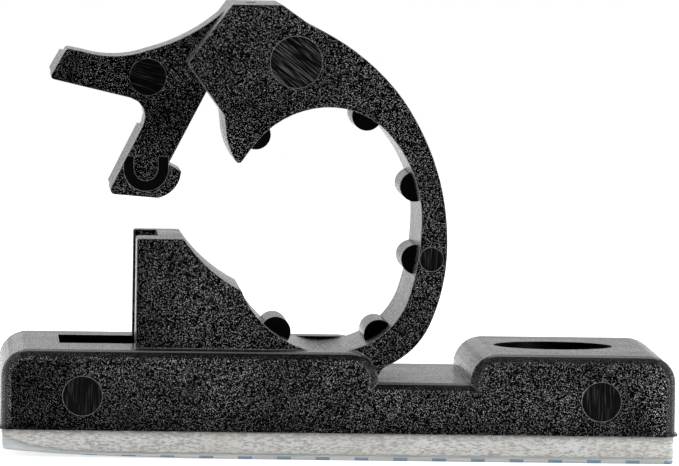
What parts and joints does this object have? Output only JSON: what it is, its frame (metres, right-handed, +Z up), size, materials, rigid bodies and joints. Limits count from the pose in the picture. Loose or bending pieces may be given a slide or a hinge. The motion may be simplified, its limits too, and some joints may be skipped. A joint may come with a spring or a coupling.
{
  "type": "adhesive cable clip",
  "caption": "Moulded cable clip on foam tape: a spring loop with inner nibs opens at one side, a hooked finger lever locks into a slot in the base, and a boss takes a screw.",
  "frame": {"origin": "centre of the underside of the release liner, which is the lowest face, under the middle of the base's length and depth", "axes": "+X along the base towards the screw boss, the front of the clip faces -Y, +Z up away from the surface the clip sticks to"},
  "size_m": [0.0544, 0.0254, 0.0362],
  "materials": {
    "black_nylon": "spark-textured black polyamide",
    "foam_tape": "matt white foam",
    "liner_film": "milky release film with plain blue bars"
  },
  "bodies": {
    "root": {"clip_body": "black_nylon", "foam_pad": "foam_tape", "release_liner": "liner_film"}
  },
  "joints": []
}
